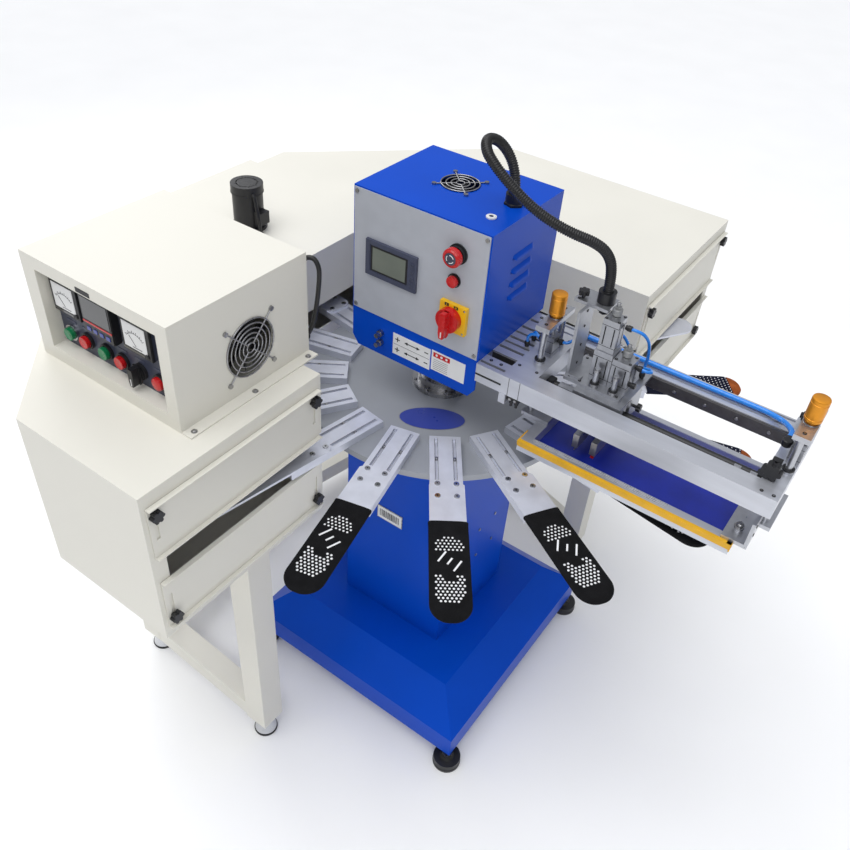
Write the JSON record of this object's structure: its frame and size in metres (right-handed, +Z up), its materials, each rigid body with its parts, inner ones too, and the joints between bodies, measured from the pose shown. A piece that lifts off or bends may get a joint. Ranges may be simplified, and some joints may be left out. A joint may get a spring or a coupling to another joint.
{
  "type": "screen printing carousel",
  "caption": "Rotary screen printer for socks: a ring of flat boards turns under one print arm and through a horseshoe tunnel dryer on legs.",
  "frame": {"origin": "centre of the machine's footprint, on the floor", "axes": "+X along the print arm away from the carousel's axis, -Y towards the operating panel, +Z up"},
  "size_m": [1.516, 1.545, 1.4292],
  "materials": {
    "blue_paint": "satin",
    "grey_paint": "satin",
    "foot_rubber": "matte",
    "machined_steel": "satin",
    "bezel_plastic": "matte",
    "red_plastic": "gloss",
    "green_plastic": "gloss",
    "yellow_plastic": "gloss",
    "black_plastic": "satin",
    "table_paint": "satin",
    "arm_aluminium": "brushed",
    "guide_steel": "satin",
    "bright_steel": "polished",
    "gold_brass": "satin",
    "sock_knit": "knitted",
    "hose_rubber": "corrugated",
    "tube_blue": "gloss",
    "mesh_blue": "woven",
    "blade_red": "satin",
    "cream_paint": "satin",
    "dark_panel": "satin",
    "motor_paint": "satin"
  },
  "bodies": {
    "machine": {"base_plinth": "blue_paint", "column": "blue_paint", "head_box": "blue_paint", "head_panel": "grey_paint", "base_feet": "foot_rubber", "centre_post": "machined_steel", "trim_screws": "machined_steel", "fan_guards": "machined_steel", "hmi_unit": "bezel_plastic", "isolator_plate": "yellow_plastic", "head_gland": "black_plastic", "knobs_and_fittings": "black_plastic", "arm_beam": "arm_aluminium", "arm_frame": "arm_aluminium", "arm_actuators": "arm_aluminium", "linear_guides": "guide_steel", "dryer_feet": "bright_steel", "hose": "hose_rubber", "air_tube": "tube_blue", "dryer_decks": "cream_paint", "dryer_outer_walls": "cream_paint", "dryer_inner_walls": "cream_paint", "dryer_end_frames": "cream_paint", "dryer_legs": "cream_paint", "control_case": "cream_paint", "control_panel": "dark_panel", "dryer_motor": "motor_paint"},
    "carousel": {"turntable": "table_paint", "spindle_flange": "machined_steel", "station_arms": "arm_aluminium", "sock_boards": "arm_aluminium", "station_screws": "machined_steel", "socks": "sock_knit"},
    "screen_lift": {"lift_yokes": "bright_steel", "screen_frame": "arm_aluminium", "screen_mesh": "mesh_blue"},
    "carriage": {"carriage_frame": "arm_aluminium", "carriage_cylinders": "arm_aluminium", "carriage_fittings": "black_plastic"},
    "squeegee": {"squeegee_holder": "arm_aluminium", "squeegee_blade": "blade_red"},
    "flood_bar": {"flood_holder": "bright_steel"},
    "height_knob_near": {"height_knob_near": "gold_brass"},
    "height_knob_far": {"height_knob_far": "gold_brass"},
    "stroke_adjuster_rear": {"stroke_adjuster_rear": "bright_steel"},
    "stroke_adjuster_front": {"stroke_adjuster_front": "bright_steel"},
    "estop_button": {"estop_button": "red_plastic"},
    "start_button": {"start_button": "red_plastic"},
    "isolator_handle": {"isolator_handle": "red_plastic"},
    "head_fan_rotor": {"head_fan_rotor": "black_plastic"},
    "case_fan_rotor": {"case_fan_rotor": "black_plastic"},
    "shutter_front_upper": {"shutter_front_upper": "cream_paint"},
    "shutter_front_lower": {"shutter_front_lower": "cream_paint"},
    "shutter_back_upper": {"shutter_back_upper": "cream_paint"},
    "shutter_back_lower": {"shutter_back_lower": "cream_paint"},
    "green_button_left": {"green_button_left": "green_plastic"},
    "red_button_left": {"red_button_left": "red_plastic"},
    "green_button_right": {"green_button_right": "green_plastic"},
    "red_button_right": {"red_button_right": "red_plastic"},
    "mode_selector": {"mode_selector": "black_plastic"}
  },
  "joints": [
    {"name": "carousel_index", "type": "hinge", "parent": "machine", "child": "carousel", "pos_m": [0.0315, -0.0175, 0.841], "axis": [0, 0, 1], "continuous": true},
    {"name": "screen_lower", "type": "slide", "parent": "machine", "child": "screen_lift", "axis": [0, 0, 1], "range_m": [-0.014, 0]},
    {"name": "height_knob_near_turn", "type": "hinge", "parent": "screen_lift", "child": "height_knob_near", "pos_m": [0.2695, -0.0255, 1.14], "axis": [0, 0, 1], "range_deg": [-360, 360]},
    {"name": "height_knob_far_turn", "type": "hinge", "parent": "screen_lift", "child": "height_knob_far", "pos_m": [0.7425, -0.0255, 1.14], "axis": [0, 0, 1], "range_deg": [-360, 360]},
    {"name": "carriage_stroke", "type": "slide", "parent": "machine", "child": "carriage", "axis": [1, 0, 0], "range_m": [-0.02, 0.22], "deforming": ["hose"]},
    {"name": "stroke_adjuster_rear_turn", "type": "hinge", "parent": "carriage", "child": "stroke_adjuster_rear", "pos_m": [0.3885, -0.0455, 1.187], "axis": [0, 0, 1], "range_deg": [-360, 360]},
    {"name": "stroke_adjuster_front_turn", "type": "hinge", "parent": "carriage", "child": "stroke_adjuster_front", "pos_m": [0.4255, -0.0455, 1.117], "axis": [0, 0, 1], "range_deg": [-360, 360]},
    {"name": "squeegee_lower", "type": "slide", "parent": "carriage", "child": "squeegee", "axis": [0, 0, 1], "range_m": [-0.015, 0]},
    {"name": "flood_lower", "type": "slide", "parent": "carriage", "child": "flood_bar", "axis": [0, 0, 1], "range_m": [-0.015, 0]},
    {"name": "estop_press", "type": "slide", "parent": "machine", "child": "estop_button", "axis": [0, 1, 0], "range_m": [0, 0.004]},
    {"name": "start_press", "type": "slide", "parent": "machine", "child": "start_button", "axis": [0, 1, 0], "range_m": [0, 0.002], "stiffness_N_per_m": 800, "springref_m": -0.001},
    {"name": "isolator_turn", "type": "hinge", "parent": "machine", "child": "isolator_handle", "pos_m": [0.1195, -0.1525, 1.112], "axis": [0, 1, 0], "range_deg": [0, 90]},
    {"name": "head_fan_spin", "type": "hinge", "parent": "machine", "child": "head_fan_rotor", "pos_m": [0.0245, -0.0075, 1.28], "axis": [0, 0, 1], "continuous": true},
    {"name": "case_fan_spin", "type": "hinge", "parent": "machine", "child": "case_fan_rotor", "pos_m": [-0.0935, -0.4665, 1.125], "axis": [1, 0, 0], "continuous": true},
    {"name": "shutter_front_upper_slide", "type": "slide", "parent": "machine", "child": "shutter_front_upper", "axis": [0, 0, 1], "range_m": [0, 0.05]},
    {"name": "shutter_front_lower_slide", "type": "slide", "parent": "machine", "child": "shutter_front_lower", "axis": [0, 0, 1], "range_m": [-0.05, 0]},
    {"name": "shutter_back_upper_slide", "type": "slide", "parent": "machine", "child": "shutter_back_upper", "axis": [0, 0, 1], "range_m": [0, 0.05]},
    {"name": "shutter_back_lower_slide", "type": "slide", "parent": "machine", "child": "shutter_back_lower", "axis": [0, 0, 1], "range_m": [-0.05, 0]},
    {"name": "green_left_press", "type": "slide", "parent": "machine", "child": "green_button_left", "axis": [0, 1, 0], "range_m": [0, 0.002], "stiffness_N_per_m": 800, "springref_m": -0.001},
    {"name": "red_left_press", "type": "slide", "parent": "machine", "child": "red_button_left", "axis": [0, 1, 0], "range_m": [0, 0.002], "stiffness_N_per_m": 800, "springref_m": -0.001},
    {"name": "green_right_press", "type": "slide", "parent": "machine", "child": "green_button_right", "axis": [0, 1, 0], "range_m": [0, 0.002], "stiffness_N_per_m": 800, "springref_m": -0.001},
    {"name": "red_right_press", "type": "slide", "parent": "machine", "child": "red_button_right", "axis": [0, 1, 0], "range_m": [0, 0.002], "stiffness_N_per_m": 800, "springref_m": -0.001},
    {"name": "mode_selector_turn", "type": "hinge", "parent": "machine", "child": "mode_selector", "pos_m": [-0.1905, -0.6075, 1.097], "axis": [0, 1, 0], "range_deg": [-45, 45]}
  ]
}
